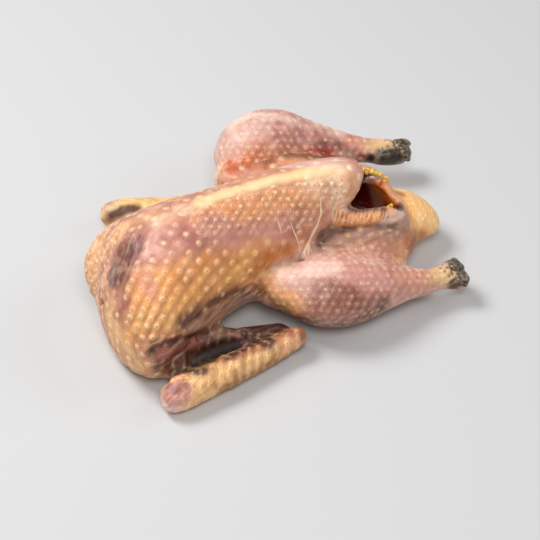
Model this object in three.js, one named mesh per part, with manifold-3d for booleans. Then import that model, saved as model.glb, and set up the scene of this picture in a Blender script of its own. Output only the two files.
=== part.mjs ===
// A whole plucked guinea fowl, lying on its back. Millimetres, +Z up, +X from the neck to the tail.
// The bird is one piece of meat and skin, so everything here is joined into one closed solid.
import * as THREE from 'three';
import { LoftGeometry } from 'three/addons/geometries/LoftGeometry.js';
import { mergeVertices } from 'three/addons/utils/BufferGeometryUtils.js';
import Module from 'manifold-3d';

const wasm = await Module();
wasm.setup();

// Driving sizes. Each is the half width or half thickness of its form where it is thickest, apart
// from the keel's, which is the height of the breast ridge above the surface under the bird.
const KEEL_TOP = 81;
const BREAST = 50;
const NECK_FOLD = 14;
const HIPS = 37;
const CAVITY = 22;
const TAIL = 22;
const DRUMSTICK = 25;
const THIGH = 29;
const SHANK = 7;
const KNUCKLE = 7;
const UPPER_ARM = 7;
const FOREARM = 10;
const WEB = 4;

// The stations below are measured from a point near the middle of the back. This moves the origin
// under the middle of the whole bird.
const TO_ORIGIN = new THREE.Vector3(3.1, 0.3, 0);

// A loft runs through stations. Each one has the middle of its ring, the half width, the rise above and
// the drop below that middle, and how the ring's top and bottom are shaped: 2 is round, less is a
// ridge, more is flat. Lean rolls the ring about the path, in degrees.
function station(x, y, z, wide, above, below, top = 2, bottom = 2, lean = 0) {
  return {
    middle: new THREE.Vector3(x, y, z).add(TO_ORIGIN),
    size: new THREE.Vector3(wide, above, below),
    shape: new THREE.Vector3(top, bottom, lean),
  };
}

function superellipse(value, power) {
  return Math.sign(value) * Math.pow(Math.abs(value), 2 / power);
}

// Square rings stay upright and face along X. The others turn with the path.
function loft(stations, rings, around, square = false) {
  const through = (key) => new THREE.CatmullRomCurve3(stations.map((s) => s[key]), false, 'catmullrom', 0.5);
  const middles = through('middle');
  const sizes = through('size');
  const shapes = through('shape');
  const up = new THREE.Vector3(0, 0, 1);
  const sections = [];
  for (let i = 0; i <= rings; i++) {
    const t = i / rings;
    const middle = middles.getPoint(t);
    const size = sizes.getPoint(t);
    const shape = shapes.getPoint(t);
    const along = square ? new THREE.Vector3(1, 0, 0) : middles.getTangent(t);
    const lean = THREE.MathUtils.degToRad(shape.z);
    const side = new THREE.Vector3().crossVectors(up, along).normalize().applyAxisAngle(along, lean);
    const rise = new THREE.Vector3().crossVectors(along, side);
    const section = [];
    for (let j = 0; j < around; j++) {
      const angle = (2 * Math.PI * j) / around;
      const power = Math.sin(angle) > 0 ? shape.x : shape.y;
      const height = Math.sin(angle) > 0 ? size.y : size.z;
      section.push(middle.clone()
        .addScaledVector(side, superellipse(Math.cos(angle), power) * size.x)
        .addScaledVector(rise, superellipse(Math.sin(angle), power) * height));
    }
    sections.push(section);
  }
  return solid(new LoftGeometry(sections, { capStart: true, capEnd: true }));
}

function solid(geometry) {
  const bare = new THREE.BufferGeometry();
  bare.setAttribute('position', geometry.getAttribute('position'));
  bare.setIndex(geometry.getIndex());
  const merged = mergeVertices(bare, 1e-4);
  return new wasm.Manifold(new wasm.Mesh({
    numProp: 3,
    vertProperties: new Float32Array(merged.attributes.position.array),
    triVerts: new Uint32Array(merged.index.array),
  }));
}

// The breast, with its keel ridge along the top, from the neck to the tip of the breastbone. The bird
// has rolled a little on to its near side.
function breast() {
  return loft([
    station(-119.5, -33, 22, 7, 7, 7),
    station(-117, -32, 24, BREAST * 0.46, 19, 18, 2, 2, 4),
    station(-111, -28, 27, BREAST * 0.8, 31, 26.5, 2, 2.2, 5),
    station(-101, -25, 28, BREAST, 41, 28, 2, 2.3, 6),
    station(-84, -20, 31, BREAST * 0.93, KEEL_TOP - 34, 31, 1.95, 2.2, 7),
    station(-60, -13, 33, BREAST * 0.8, KEEL_TOP - 33, 34, 1.85, 2.05, 8),
    station(-35, -9, 34, BREAST * 0.7, KEEL_TOP - 33, 35, 1.75, 2, 8),
    station(-10, -6, 36, BREAST * 0.68, KEEL_TOP - 36, 33, 1.72, 2, 8),
    station(9, -4, 41, BREAST * 0.6, KEEL_TOP - 42, 30, 1.72, 2, 10),
    station(20, -3, 46, BREAST * 0.5, KEEL_TOP - 47, 26, 1.75, 2, 12),
    station(34, -3, 55, BREAST * 0.36, 23, 18, 1.85, 2, 14),
    station(44, -5, 62, 13, 14, 12, 1.9, 2, 14),
    station(51, -7, 66, 8, 8, 8, 2, 2, 14),
    station(54, -7, 67, 4, 4, 4),
  ], 34, 36, true);
}

// The loose skin of the neck, folded over the front of the breast as a thick roll.
function neckFold() {
  return loft([
    station(-74, 22, 43, 6, 6, 8),
    station(-86, 16, 44, NECK_FOLD * 0.8, 10, 12),
    station(-99, 10, 43, NECK_FOLD * 0.88, 10, 14),
    station(-107, 2, 38, NECK_FOLD * 0.95, 12, 14),
    station(-109.6, -5, 29, 11, 10, 11),
    station(-111, -6, 20, 7.5, 7, 8),
    station(-110, -8, 14, 4, 3, 3),
  ], 14, 16);
}

// The hips and the loose skin of the belly, round the body cavity.
function hips() {
  return loft([
    station(-40, -9, 24, 24, 22, 25, 2, 2.4),
    station(-8, -7, 25, HIPS - 5, 24, 26, 2, 2.6),
    station(22, -6, 25, HIPS, 24, 26, 2.1, 2.6),
    station(44, -7, 25, HIPS, 24, 25, 2.4, 2.6),
    station(62, -8, 23, HIPS - 3, 25, 22, 2.6, 2.6),
    station(74, -9, 21, 28, 22, 19, 2.5, 2.5),
    station(81, -9, 19, 22, 16, 15, 2.2, 2.3),
    station(85, -9, 18, 11, 7, 8),
  ], 20, 30, true);
}

// The body cavity, open between the tip of the breastbone and the tail.
function cavity() {
  return loft([
    station(-40, -8, 32, 5, 5, 5),
    station(-30, -8, 32, 14, 12, 12),
    station(0, -7, 32, CAVITY - 1, 15, 18),
    station(30, -7, 32, CAVITY, 12, 20),
    station(48, -7, 37, 19, 14, 22),
    station(60, -8, 42, 17, 22, 24),
    station(69, -10, 49, 13, 22, 24),
    station(77, -11, 58, 8, 18, 19),
  ], 16, 20, true);
}

// The wrinkled roll of skin along the near edge of the opening.
function nearRim() {
  return loft([
    station(26, -18, 42, 3, 3, 4),
    station(33, -22, 45, 6, 5, 7),
    station(44, -25, 46, 7, 6, 8),
    station(55, -26, 46, 6, 5, 8),
    station(66, -25, 43, 5, 5, 7),
    station(74, -22, 38, 3, 3, 4),
  ], 10, 10);
}

// The far edge of the opening, thick with lumps of fat.
function farRim() {
  return loft([
    station(44, 12, 44, 2, 2, 3),
    station(52, 13, 48, 4, 4, 7),
    station(61, 12, 49, 5, 4, 8),
    station(69, 7, 46, 5, 4, 8),
    station(75, 1, 41, 4, 3, 5),
  ], 10, 10);
}

// The tail, a thick pad of fat.
function tail() {
  return loft([
    station(66, -8, 16, TAIL - 2, 12, 14),
    station(76, -8, 18, TAIL + 1, 14, 15),
    station(86, -6, 18, TAIL - 1, 15, 14),
    station(94, -7, 17, TAIL - 3.5, 12, 12),
    station(101, -10, 16, 13, 8, 9),
    station(105, -12, 15, 4, 3, 4),
  ], 12, 20, true);
}

// Each drumstick runs from the knee, beside the breast, back to the bare end of the shank.
function nearLeg() {
  return loft([
    station(-29, -38, 25, 5, 5, 5),
    station(-25, -39, 25.5, 10, 9, 9),
    station(-10, -45.5, 28, DRUMSTICK * 0.68, 15, 14),
    station(12, -54, 25, DRUMSTICK, 21, 21),
    station(36, -58, 23, DRUMSTICK * 0.84, 18, 19),
    station(56, -60, 20, DRUMSTICK * 0.52, 11, 12),
    station(70, -62, 17, SHANK + 2, 8, 8),
    station(80, -62, 16, SHANK, SHANK, SHANK),
    station(88, -62, 16, SHANK + 2, SHANK, SHANK + 1),
    station(97, -62, 15, 5, 5, 5),
  ], 22, 20).add(knuckle(93, -58, 16)).add(knuckle(94, -66, 14));
}

function farLeg() {
  return loft([
    station(-8, 62, 26, 6, 8, 9),
    station(-3, 64, 28, 16, 18, 19),
    station(12, 69, 30, DRUMSTICK, 26, 25),
    station(32, 71, 30, DRUMSTICK, 23.5, 24),
    station(52, 66, 28, DRUMSTICK * 0.68, 15, 18),
    station(70, 59, 26, 11, 10, 12),
    station(84, 54, 24, SHANK + 1, SHANK, SHANK + 2),
    station(98, 49, 21, SHANK + 3, SHANK + 1, SHANK + 2),
    station(108, 46, 20, 6, 6, 6),
  ], 22, 20).add(knuckle(107, 49, 20)).add(knuckle(104, 45, 20));
}

function knuckle(x, y, z) {
  const middle = new THREE.Vector3(x, y, z).add(TO_ORIGIN);
  return solid(new THREE.SphereGeometry(KNUCKLE, 12, 8).translate(middle.x, middle.y, middle.z));
}

// A thigh runs from the hip to the knee. The skin between it and the drumstick fills the angle.
function nearThigh() {
  return loft([
    station(-24, -38, 25, 8, 8, 9),
    station(-14, -38.5, 26, 15, 14, 15),
    station(8, -38, 25, THIGH - 5, 18, 20),
    station(32, -36, 23, THIGH - 5, 17, 18),
    station(54, -34, 20, THIGH - 11, 11, 14),
    station(65, -37, 18, 10, 6, 7),
    station(71, -38, 17, 4, 2, 3),
  ], 12, 18, true);
}

function farThigh() {
  return loft([
    station(-18, 50, 28, 6, 9, 11),
    station(-13, 49, 28, 15, 14, 17),
    station(4, 45, 28, THIGH - 4, 18, 20),
    station(24, 41, 28, THIGH, 19, 22),
    station(44, 36, 26, THIGH - 1, 16, 20),
    station(60, 34, 23, THIGH - 7, 11, 14),
    station(72, 34, 21, 12, 6, 7),
    station(77, 33, 20, 4, 2, 3),
  ], 12, 18, true);
}

// Each wing lies folded at the elbow and is cut off at the wrist. Thin skin joins its two bones.
function nearWing() {
  const upperArm = loft([
    station(-108, -46, 20, 7, 7, 9),
    station(-102, -52, 18, 14, 12, 17),
    station(-93, -57, 16, 17, 13, 15),
    station(-80, -56, 14, 13, 10, 14),
    station(-62, -54, 10, 9, 8, 10),
    station(-44, -56, 8, UPPER_ARM, 6, 8),
    station(-22, -61.5, 8, UPPER_ARM, 6, 8),
    station(-15.5, -66, 7.5, 4, 4, 5),
  ], 16, 14);
  const forearm = loft([
    station(-9.2, -70.7, 11.8, 2.5, 2.5, 3),
    station(-13.2, -71.5, 11.6, 5, 5, 6),
    station(-23, -72.5, 10, FOREARM - 2.5, 7.5, 9),
    station(-46, -78, 11, FOREARM - 1, 9, 11),
    station(-72, -83, 11, FOREARM, 10, 11),
    station(-92, -87, 11, FOREARM, 9, 11),
    station(-101, -88, 10, FOREARM - 2, 8, 10),
    station(-105, -88, 10, 4, 4, 5),
  ], 16, 16);
  const web = loft([
    station(-92, -70, 6, 8, WEB, WEB),
    station(-70, -68, 6, 13, WEB, WEB),
    station(-45, -67, 6, 10, WEB, WEB),
    station(-24, -68, 6, 7, WEB, WEB),
    station(-14, -69, 6, 3, 3, WEB),
  ], 10, 10);
  return upperArm.add(forearm).add(web);
}

function farWing() {
  const upperArm = loft([
    station(-90, 16, 26, 13, 14, 16),
    station(-76, 24, 22, 15, 12, 16),
    station(-58, 30, 16, 10, 9, 12),
    station(-40, 37, 10, UPPER_ARM + 1, 7, 9),
    station(-18, 45, 9, UPPER_ARM, 6, 8),
    station(-10, 48, 9, 4, 4, 5),
  ], 14, 14);
  const forearm = loft([
    station(-5, 49, 11, 3, 3, 4),
    station(-10, 50, 11, 7, 7, 9),
    station(-34, 55, 12, FOREARM - 1, 8, 11),
    station(-60, 62, 12, FOREARM, 9, 12),
    station(-79, 68, 12, FOREARM, 9, 12),
    station(-88, 71, 11, 6, 6, 6),
  ], 14, 16);
  const web = loft([
    station(-74, 44, 6, 5, WEB, WEB),
    station(-50, 48, 6, 9, WEB, WEB),
    station(-20, 49, 6, 4, 3, WEB),
  ], 10, 10);
  return upperArm.add(forearm).add(web);
}

// Everything under the surface that the bird lies on. It flattens the back.
function underneath() {
  return solid(new THREE.BoxGeometry(400, 400, 40).translate(0, 0, -20));
}

let bird = breast().add(neckFold()).add(hips()).add(tail());
bird = bird.add(nearThigh()).add(nearLeg()).add(farThigh()).add(farLeg());
bird = bird.subtract(cavity()).add(nearRim()).add(farRim());
bird = bird.add(nearWing()).add(farWing());
bird = bird.subtract(underneath());

const skin = new THREE.MeshStandardMaterial({ color: 0xd9a27a, roughness: 0.5, metalness: 0 });

function toMesh(shape, name, material) {
  const made = shape.getMesh();
  const geometry = new THREE.BufferGeometry()
    .setAttribute('position', new THREE.BufferAttribute(new Float32Array(made.vertProperties), 3))
    .setIndex(new THREE.BufferAttribute(new Uint32Array(made.triVerts), 1));
  geometry.computeVertexNormals();
  const mesh = new THREE.Mesh(geometry, material);
  mesh.name = name;
  return mesh;
}

const group = new THREE.Group();
group.add(toMesh(bird, 'guinea_fowl', skin));
export default group;
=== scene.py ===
import bmesh
import bpy
import numpy as np
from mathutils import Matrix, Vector
from mathutils.bvhtree import BVHTree


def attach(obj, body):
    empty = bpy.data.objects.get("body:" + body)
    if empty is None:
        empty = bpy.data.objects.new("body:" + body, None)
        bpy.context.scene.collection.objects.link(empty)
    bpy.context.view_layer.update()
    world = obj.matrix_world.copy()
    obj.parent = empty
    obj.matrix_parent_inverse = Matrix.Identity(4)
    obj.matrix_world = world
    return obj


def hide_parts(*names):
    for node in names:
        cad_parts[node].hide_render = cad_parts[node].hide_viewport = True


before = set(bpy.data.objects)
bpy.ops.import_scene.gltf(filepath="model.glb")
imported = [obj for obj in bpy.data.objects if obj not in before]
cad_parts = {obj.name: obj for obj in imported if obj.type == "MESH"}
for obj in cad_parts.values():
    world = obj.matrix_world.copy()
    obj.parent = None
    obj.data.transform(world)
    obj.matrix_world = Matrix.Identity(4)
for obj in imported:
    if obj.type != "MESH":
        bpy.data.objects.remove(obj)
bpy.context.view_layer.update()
scene = bpy.context.scene

# The camera looks down on the bird from beside its neck, through a long lens, as the photograph's did.
# Sizes are in millimetres and are turned into metres as they are used.
MM = 0.001
CAMERA_AT = np.array((-338.9, -846.2, 903.4))
CAMERA_AIM = np.array((-0.7, -2.4, 0.0))
LENS = 138.6
SENSOR = 36.0
PHOTO = 540
FAR_CLIP = 20000

camera = bpy.data.objects.new("camera", bpy.data.cameras.new("camera"))
scene.collection.objects.link(camera)
camera.data.lens = LENS
camera.data.sensor_width = SENSOR
camera.data.clip_end = FAR_CLIP * MM
camera.location = CAMERA_AT * MM
camera.rotation_euler = Vector(CAMERA_AIM - CAMERA_AT).to_track_quat("-Z", "Y").to_euler()
scene.camera = camera

# A pale floor, and three soft lights: the main one above and behind, on the neck's side, a fill from the
# camera's side and a weak one from the tail's side, all placed in metres. The sky gives the rest.
FLOOR_CORNERS = ((-4, -4, 0), (4, -4, 0), (4, 4, 0), (-4, 4, 0))
FLOOR_GREY = 0.58
FLOOR_ROUGHNESS = 0.7
SKY_COLOUR = (0.96, 0.98, 1.0, 1)
SKY_STRENGTH = 0.24

scene.view_settings.view_transform = "Standard"

floor = bpy.data.objects.new("floor", bpy.data.meshes.new("floor"))
floor.data.from_pydata(FLOOR_CORNERS, [], [(0, 1, 2, 3)])
scene.collection.objects.link(floor)


def shaded(name, values):
    """A new material with the given values on its shader's sockets, and its shader."""
    made = bpy.data.materials.new(name)
    made.use_nodes = True
    shader = made.node_tree.nodes["Principled BSDF"]
    for socket, value in values.items():
        shader.inputs[socket].default_value = value
    return made, shader


floor_material, _ = shaded("floor", {"Base Color": (FLOOR_GREY, FLOOR_GREY, FLOOR_GREY, 1),
                                     "Roughness": FLOOR_ROUGHNESS})
floor.data.materials.append(floor_material)

world = bpy.data.worlds.new("world")
world.use_nodes = True
world.node_tree.nodes["Background"].inputs["Color"].default_value = SKY_COLOUR
world.node_tree.nodes["Background"].inputs["Strength"].default_value = SKY_STRENGTH
scene.world = world


def soft_light(name, place, size, power):
    """A square area light of that size and power at place, all in metres and watts, aimed at the bird."""
    light = bpy.data.objects.new(name, bpy.data.lights.new(name, "AREA"))
    light.data.size = size
    light.data.energy = power
    light.location = place
    light.rotation_euler = (-Vector(place)).to_track_quat("-Z", "Y").to_euler()
    scene.collection.objects.link(light)


soft_light("overhead", (-0.55, 0.55, 1.2), 0.6, 16)
soft_light("near_side", (-0.3, -0.9, 1.4), 0.6, 12)
soft_light("tail_side", (1.2, -0.3, 0.9), 0.8, 4)

# The skin is one piece over the whole bird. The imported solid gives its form: a copy is merged, remeshed to
# even squares, smoothed by rounds of averaging, swelled by rounds the other way that give back some of what
# smoothing took, and divided once. The fine relief is added to that.
MERGE_WITHIN = 0.001
VOXEL = 2.55
SMOOTHING = 12
SWELLING = 7


def merged_copy(node, name):
    """A copy of a CAD node's mesh with its shared corners merged."""
    piece = bpy.data.objects.new(name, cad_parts[node].data.copy())
    scene.collection.objects.link(piece)
    work = bmesh.new()
    work.from_mesh(piece.data)
    bmesh.ops.remove_doubles(work, verts=work.verts, dist=MERGE_WITHIN * MM)
    work.to_mesh(piece.data)
    work.free()
    return piece


def finished(piece):
    """The piece with its modifiers applied."""
    made = bpy.data.meshes.new_from_object(piece.evaluated_get(bpy.context.evaluated_depsgraph_get()))
    piece.modifiers.clear()
    piece.data = made
    return piece


skin = merged_copy("guinea_fowl", "skin")
remesh = skin.modifiers.new("even squares", "REMESH")
remesh.mode = "VOXEL"
remesh.voxel_size = VOXEL * MM
for name, factor, rounds in (("soft", 0.5, SMOOTHING), ("swell", -0.5, SWELLING)):
    smooth = skin.modifiers.new(name, "SMOOTH")
    smooth.factor = factor
    smooth.iterations = rounds
finer = skin.modifiers.new("finer", "SUBSURF")
finer.levels = 1
finer.render_levels = 1
skin = finished(skin)
bpy.context.view_layer.update()
surface = BVHTree.FromObject(skin, bpy.context.evaluated_depsgraph_get())


def corner_values(piece, source, name):
    """One three-number value of every corner of a piece's mesh, as an array with a row for each corner."""
    values = np.empty(len(piece.data.vertices) * 3)
    getattr(piece.data, source).foreach_get(name, values)
    return values.reshape(-1, 3)


places = corner_values(skin, "vertices", "co") / MM
normals = corner_values(skin, "vertex_normals", "vector")

# Marks are places in the 540 pixel photograph. A ray from the camera through a mark finds where it lies
# on the skin, so lines and patches drawn with marks follow the body in all three directions.
FORWARD = (CAMERA_AIM - CAMERA_AT) / np.linalg.norm(CAMERA_AIM - CAMERA_AT)
RIGHT = np.cross(FORWARD, (0, 0, 1)) / np.linalg.norm(np.cross(FORWARD, (0, 0, 1)))
UPWARD = np.cross(RIGHT, FORWARD)
FOCUS = PHOTO * LENS / SENSOR


def rays(marks):
    """The direction from the camera through each mark: forward + right (x - 270) / f - up (y - 270) / f."""
    shift = (np.atleast_2d(marks) - PHOTO / 2) / FOCUS
    toward = FORWARD + shift[:, :1] * RIGHT - shift[:, 1:] * UPWARD
    return toward / np.linalg.norm(toward, axis=1)[:, None]


def on_skin(marks):
    """The place in millimetres where each mark's ray first meets the skin, without the rays that miss it."""
    hits = [surface.ray_cast(Vector(CAMERA_AT * MM), Vector(ray))[0] for ray in rays(marks)]
    return np.array([hit for hit in hits if hit is not None]) / MM


def seen_at(points):
    """Each point's pixel place in the photograph, and how many millimetres one pixel covers there."""
    away = points - CAMERA_AT
    depth = away @ FORWARD
    return (PHOTO / 2 + FOCUS * (away @ RIGHT) / depth, PHOTO / 2 - FOCUS * (away @ UPWARD) / depth,
            depth / FOCUS)


def near_marks(marks, width):
    """How near every corner lies to the line through some marks on the skin, with d the distance from it and
    both in millimetres: (1 - (d / width)^2)^2, and 0 past the width."""
    line = on_skin(marks)
    nearest = np.full(len(places), np.inf)
    for start, end in zip(line, np.vstack((line[1:], line[-1:]))):
        along = end - start
        share = np.clip((places - start) @ along / max(along @ along, 1e-9), 0, 1)
        nearest = np.minimum(nearest, ((places - start - share[:, None] * along) ** 2).sum(1))
    return np.clip(1 - nearest / width ** 2, 0, 1) ** 2


def step(values, low, high):
    """0 up to low, 1 from high, and a smooth rise 3 t^2 - 2 t^3 between them."""
    share = np.clip((values - low) / (high - low), 0, 1)
    return share * share * (3 - 2 * share)


HASH_ROW = (12.9898, 78.233, 37.719)
HASH_SEED = 4.1
HASH_SIZE = 43758.5453


def hashed(cells, seed):
    """A number from 0 to 1 for each row of three whole numbers: the part behind the point of
    HASH_SIZE |sin(row . HASH_ROW + HASH_SEED seed)|."""
    return np.abs(np.sin(cells @ np.array(HASH_ROW) + HASH_SEED * seed) * HASH_SIZE) % 1


def noise(points, size, seed):
    """Smooth random values from 0 to 1 that vary over a size in millimetres. The corners of a grid of cubes
    have hashed values, which 3 t^2 - 2 t^3 blends in all three directions."""
    cell = np.floor(points / size)
    part = points / size - cell
    part = part * part * (3 - 2 * part)
    total = np.zeros(len(points))
    for corner in np.ndindex(2, 2, 2):
        total += np.prod(np.where(corner, part, 1 - part), axis=1) * hashed(cell + corner, seed)
    return total


# Each limb has a line of bones: places and half widths in millimetres. A limb's share of the skin falls from
# 1 near its own flesh to 0 a few millimetres outside it, and what no limb takes is the body. The neck's fold
# also takes a strip of the side that the camera sees.
NEAR_LEG = ((-22, -39, 25, 10), (-7, -45, 28, 17), (15, -54, 25, 25), (39, -58, 23, 21), (59, -60, 20, 13),
            (73, -62, 17, 9), (83, -62, 16, 7), (91, -62, 16, 9), (102, -62, 15, 7))
FAR_LEG = ((0, 64, 28, 16), (15, 69, 30, 25), (35, 71, 30, 25), (55, 66, 28, 17), (73, 59, 26, 11),
           (87, 54, 24, 8), (101, 49, 21, 10), (113, 46, 20, 8))
NEAR_FOREARM = ((-9, -70, 11, 5), (-20, -72, 10, 8), (-43, -78, 11, 9), (-69, -83, 11, 10),
                (-89, -87, 11, 10), (-102, -88, 10, 8))
NEAR_ARM = ((-99, -52, 18, 14), (-90, -57, 16, 17), (-77, -56, 14, 13), (-59, -54, 10, 9), (-41, -56, 8, 7),
            (-19, -61, 8, 7), (-11, -66, 8, 4))
FAR_FOREARM = ((-7, 50, 11, 7), (-31, 55, 12, 9), (-57, 62, 12, 10), (-76, 68, 12, 10), (-87, 71, 11, 7))
FAR_ARM = ((-73, 24, 22, 15), (-55, 30, 16, 10), (-37, 37, 10, 8), (-15, 45, 9, 7))
NECK_FOLD = ((-71, 22, 43, 7), (-83, 16, 44, 11), (-96, 10, 43, 12), (-104, 2, 38, 13), (-107, -5, 29, 11),
             (-108, -6, 20, 8))
TAIL = ((78, -8, 17, 18), (92, -8, 17, 17), (105, -9, 17, 11))
CAVITY = ((-37, -8, 32, 15), (0, -7, 32, 20), (33, -7, 32, 22), (51, -7, 37, 19), (63, -8, 42, 17),
          (72, -10, 49, 13), (80, -11, 58, 10))
FOLD_SIDE = ((120, 230), (108, 246), (103, 264), (101, 284))


def limb_share(bones, inner, outer):
    """1 where a corner's gap to the flesh of a limb is up to inner, 0 from outer, and a smooth fall between.
    The gap is the distance from the line of bones, less the half width there."""
    bones = np.array(bones, float)
    least = np.full(len(places), np.inf)
    for start, end in zip(bones[:-1], bones[1:]):
        along = (end - start)[:3]
        share = np.clip((places - start[:3]) @ along / (along @ along), 0, 1)
        away = np.linalg.norm(places - start[:3] - share[:, None] * along, axis=1)
        least = np.minimum(least, away - start[3] - share * (end[3] - start[3]))
    return 1 - step(least, inner, outer)


near_leg = limb_share(NEAR_LEG, 1, 7)
far_leg = limb_share(FAR_LEG, 1, 7)
near_forearm = limb_share(NEAR_FOREARM, 1, 5)
near_arm = limb_share(NEAR_ARM, 0, 5) * step(places[:, 0], -95, -75)
far_forearm = limb_share(FAR_FOREARM, 1, 5)
far_arm = limb_share(FAR_ARM, 0, 5) * step(places[:, 0], -62, -50)
fold = np.maximum(limb_share(NECK_FOLD, 2, 7),
                  np.clip(1.5 * near_marks(FOLD_SIDE, 10), 0, 1))
tail = limb_share(TAIL, 1, 8) * step(places[:, 0], 76, 88)
axis = np.array(CAVITY, float)
from_axis = places - np.stack([np.interp(places[:, 0], axis[:, 0], axis[:, k]) for k in range(3)], 1)
inward = -(normals * from_axis).sum(1) / np.linalg.norm(from_axis, axis=1)
cavity = (limb_share(CAVITY, 2, 5) * step(inward, 0.0, 0.4)
          * step(places[:, 0], -45, -40) * (1 - step(places[:, 0], 78, 84)))

# The skin's colours are mixed corner by corner, and its relief is a height in millimetres along the normal.
# Patches and lines drawn with marks are laid over a colour for each limb, each fading out from its line.
# The colours are the ones seen on screen, from 0 to 255.
CREAM_HIGHLIGHT = (255, 220, 166)
PEACH = (246, 186, 138)
WARM_PEACH = (255, 210, 176)
PALE_PINK = (250, 212, 196)
LEG_PINK = (222, 174, 160)
ROSE = (222, 160, 144)
PINK = (222, 158, 136)
MAUVE = (206, 140, 128)
PLUM = (176, 110, 100)
WINE = (148, 80, 70)
MEAT = (122, 48, 38)
RUST = (166, 92, 60)
DARK_PURPLE = (84, 46, 41)
GOLD = (242, 172, 112)
ORANGE = (255, 178, 104)
YELLOW = (255, 188, 108)
DEEP_ORANGE = (200, 90, 14)
AMBER = (228, 152, 98)
OCHRE = (180, 120, 62)
BURNT = (196, 112, 48)
OLIVE = (150, 108, 62)
CLAY = (216, 150, 124)
GREY = (176, 134, 115)
BLUE_GREY = (124, 104, 102)
UMBER = (130, 84, 62)
SHADE = (112, 70, 56)
DUSK = (116, 62, 54)
BROWN = (84, 46, 32)
RED = (166, 52, 36)
HOLLOW_SHADE = (44, 22, 9)
BLACK_BROWN = (27, 19, 13)
DEEP_RED = (76, 10, 5)
TAN = (255, 202, 138)
STRAW = (246, 210, 146)
SCALES = (224, 184, 132)
FLESH_PINK = (212, 146, 138)


def light_of(colour):
    """A colour seen on screen, from 0 to 255, as the amounts of light that a shader takes."""
    share = np.array(colour) / 255
    return np.where(share <= 0.04045, share / 12.92, ((share + 0.055) / 1.055) ** 2.4)


RAGGED = 0.9 * (noise(places, 9, 5) - 0.5) + 0.7 * (noise(places, 3.5, 6) - 0.5)
BROKEN = noise(places, 5, 12)
tone = np.tile(light_of(PINK), (len(places), 1))
height = 1.0 * (noise(places, 15, 1) - 0.5) + 0.6 * (noise(places, 6, 2) - 0.5)


def cover(share, colour):
    """Mixes a colour over the tone by a share from 0 to 1 at every corner."""
    tone[:] += np.clip(share, 0, 1)[:, None] * (light_of(colour) - tone)


def stroke(marks, width, colour, share):
    """Covers a band along a line of marks, of a half width in millimetres, with a soft and ragged edge."""
    near = near_marks(marks, 1.2 * width)
    cover(share * np.clip(1.25 * near * (1 + RAGGED), 0, 1), colour)


def streaks(lines, width, colour, share, depth):
    """Thin broken lines of colour along rows of marks, which also sink the skin by the depth, or raise it."""
    for marks in lines:
        near = near_marks(marks, width) * step(BROKEN, 0.2, 0.55)
        cover(share * near, colour)
        height[:] -= depth * near


def spots(marks, width, colour, share, depth=0.0):
    """Round spots of colour at marks, of a half width in millimetres, sunk by the depth or raised."""
    for mark in marks:
        near = near_marks([mark], 1.4 * width)
        cover(share * np.clip(1.5 * near, 0, 1), colour)
        height[:] -= depth * near


cover(0.6 * noise(places, 30, 3), GOLD)
cover(0.4 * step(noise(places, 12, 4), 0.5, 0.8), MAUVE)
cover(0.7 * (1 - step(normals[:, 2], -0.6, -0.1)), TAN)
cover(near_leg, LEG_PINK)
cover(far_leg, PALE_PINK)
cover(0.45 * (near_leg + far_leg) * step(noise(places, 14, 8), 0.4, 0.7), PLUM)
cover(near_forearm, TAN)
cover(0.5 * near_forearm * step(noise(places, 7, 18), 0.45, 0.75), OCHRE)
cover(far_forearm, STRAW)
cover(0.95 * near_arm, SHADE)
cover(0.6 * far_arm, TAN)
cover(fold, PEACH)
cover(tail, TAN)
cover(0.4 * tail * step(noise(places, 10, 19), 0.4, 0.7), YELLOW)

# The breast: a cream ridge over the keel, an orange band of close follicles under it, pink and mauve skin in
# the middle, and yellow and orange fat toward the waist. The cream along the keel's top and at its fading
# left end is partly the skin's own colour and partly a painted highlight.
UPPER_BAND = ((198, 226), (240, 211), (290, 203), (335, 193))
TIP_PATCH = ((318, 181), (335, 185), (351, 184), (340, 201))
TIP_EDGE = ((349, 180), (352, 187), (350, 196))
TIP_PURPLE = ((298, 219), (320, 216), (312, 236))
KEEL_TIP = ((341, 173), (350, 177), (354, 185), (350, 195))
PINK_PATCH = ((152, 240), (164, 237), (158, 255), (150, 268))
PURPLE_PATCH = ((184, 232), (205, 241), (228, 236), (210, 228))
MIDDLE_PATCH = ((228, 244), (265, 236), (285, 225))
KEEL_HIGHLIGHT_LINE = ((200, 202), (215, 196), (250, 186), (290, 176), (325, 170), (338, 169))
KEEL_END_HIGHLIGHT = ((155, 222), (178, 212), (202, 201))
SHOULDER = ((118, 236), (135, 224), (152, 214))
FAR_STRIP = ((285, 167), (320, 163), (347, 165))
ORANGE_BELT = ((150, 289), (170, 287), (200, 276), (240, 268), (262, 262))
DEEP_BELT = ((264, 261), (276, 256), (286, 253))
YELLOW_BELT = ((128, 332), (160, 322), (190, 305), (217, 291), (240, 272))
BELT_EDGE = ((190, 305), (215, 292), (244, 279), (255, 271))
FRONT_LOWER = ((110, 316), (115, 335), (130, 357), (148, 370))
FRONT_SPOT = ((146, 278), (150, 290))
stroke(UPPER_BAND, 13, AMBER, 0.9)
stroke(TIP_PATCH, 14, WARM_PEACH, 1.0)
stroke(TIP_PURPLE, 11, CLAY, 0.7)
stroke(KEEL_TIP, 7, PEACH, 0.5)
stroke(PINK_PATCH, 14, ROSE, 0.85)
stroke(PURPLE_PATCH, 13, MAUVE, 0.85)
stroke(MIDDLE_PATCH, 12, MAUVE, 0.8)
stroke(SHOULDER, 10, PEACH, 0.6)
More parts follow.
